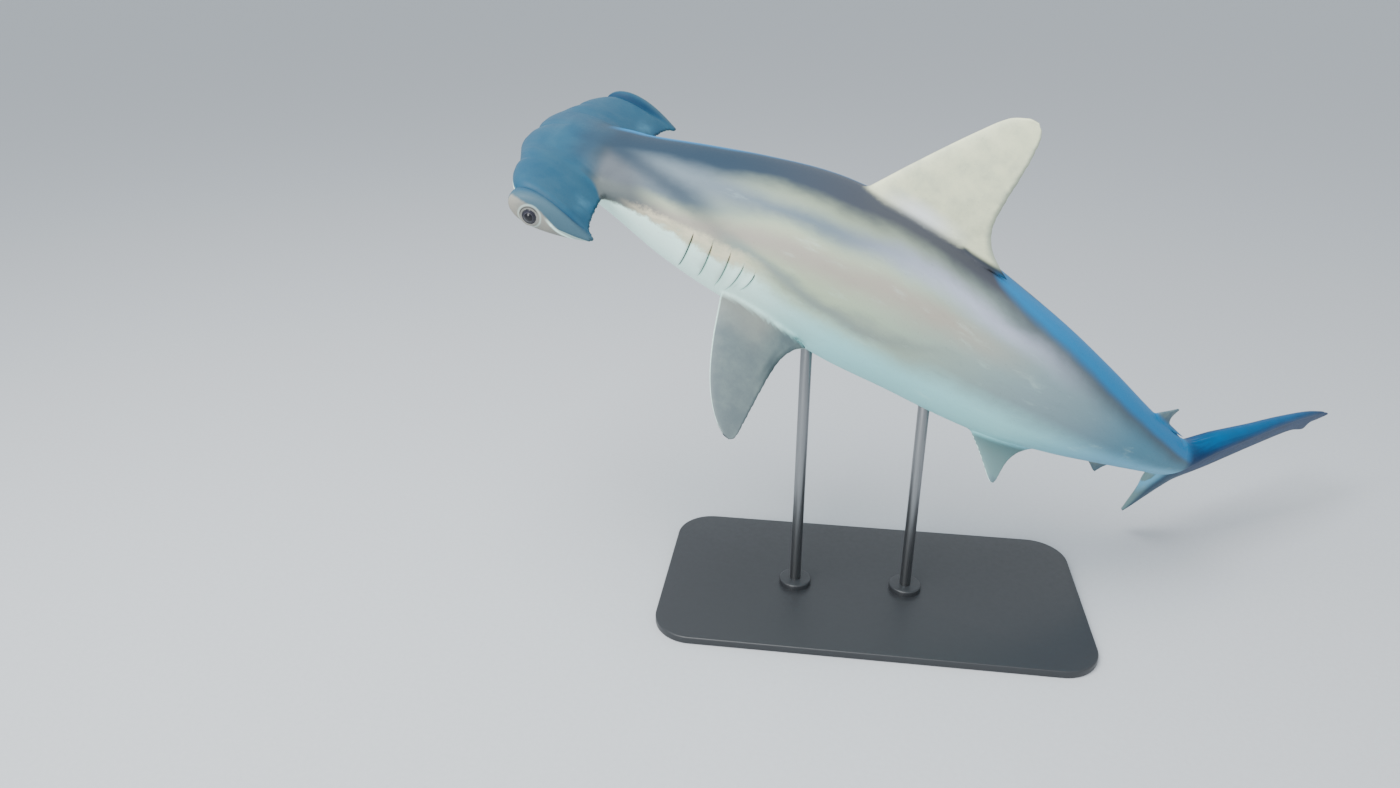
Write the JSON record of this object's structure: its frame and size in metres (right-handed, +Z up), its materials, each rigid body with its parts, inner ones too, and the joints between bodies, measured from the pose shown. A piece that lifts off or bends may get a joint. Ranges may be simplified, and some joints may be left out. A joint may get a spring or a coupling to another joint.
{
  "type": "hammerhead shark model",
  "caption": "Life-size still model of a scalloped hammerhead shark swimming in a gentle turn, held by a plain display stand with a flat base and short rods.",
  "frame": {"origin": "centre of the whole model's bounding box, at its lowest level: the underside of the stand's base on the floor", "axes": "+Z up; the shark's head points along -X and the tail along +X, dropping as it goes; its left side faces -Y"},
  "size_m": [2.0352, 1.0308, 1.1514],
  "materials": {
    "skin": "satin",
    "eye": "gloss",
    "stand_plate": "satin",
    "stand_rod": "brushed"
  },
  "bodies": {
    "root": {"head": "skin", "gill_section": "skin", "trunk_front": "skin", "trunk_rear": "skin", "tail_stalk": "skin", "caudal_fin_upper": "skin", "caudal_fin_lower": "skin", "first_dorsal_fin": "skin", "second_dorsal_fin": "skin", "anal_fin": "skin", "pectoral_fin_left": "skin", "pectoral_fin_right": "skin", "pelvic_fin_left": "skin", "pelvic_fin_right": "skin", "eye_left": "eye", "eye_right": "eye", "stand_base": "stand_plate", "stand_rod_front": "stand_rod", "stand_rod_rear": "stand_rod"}
  },
  "joints": []
}
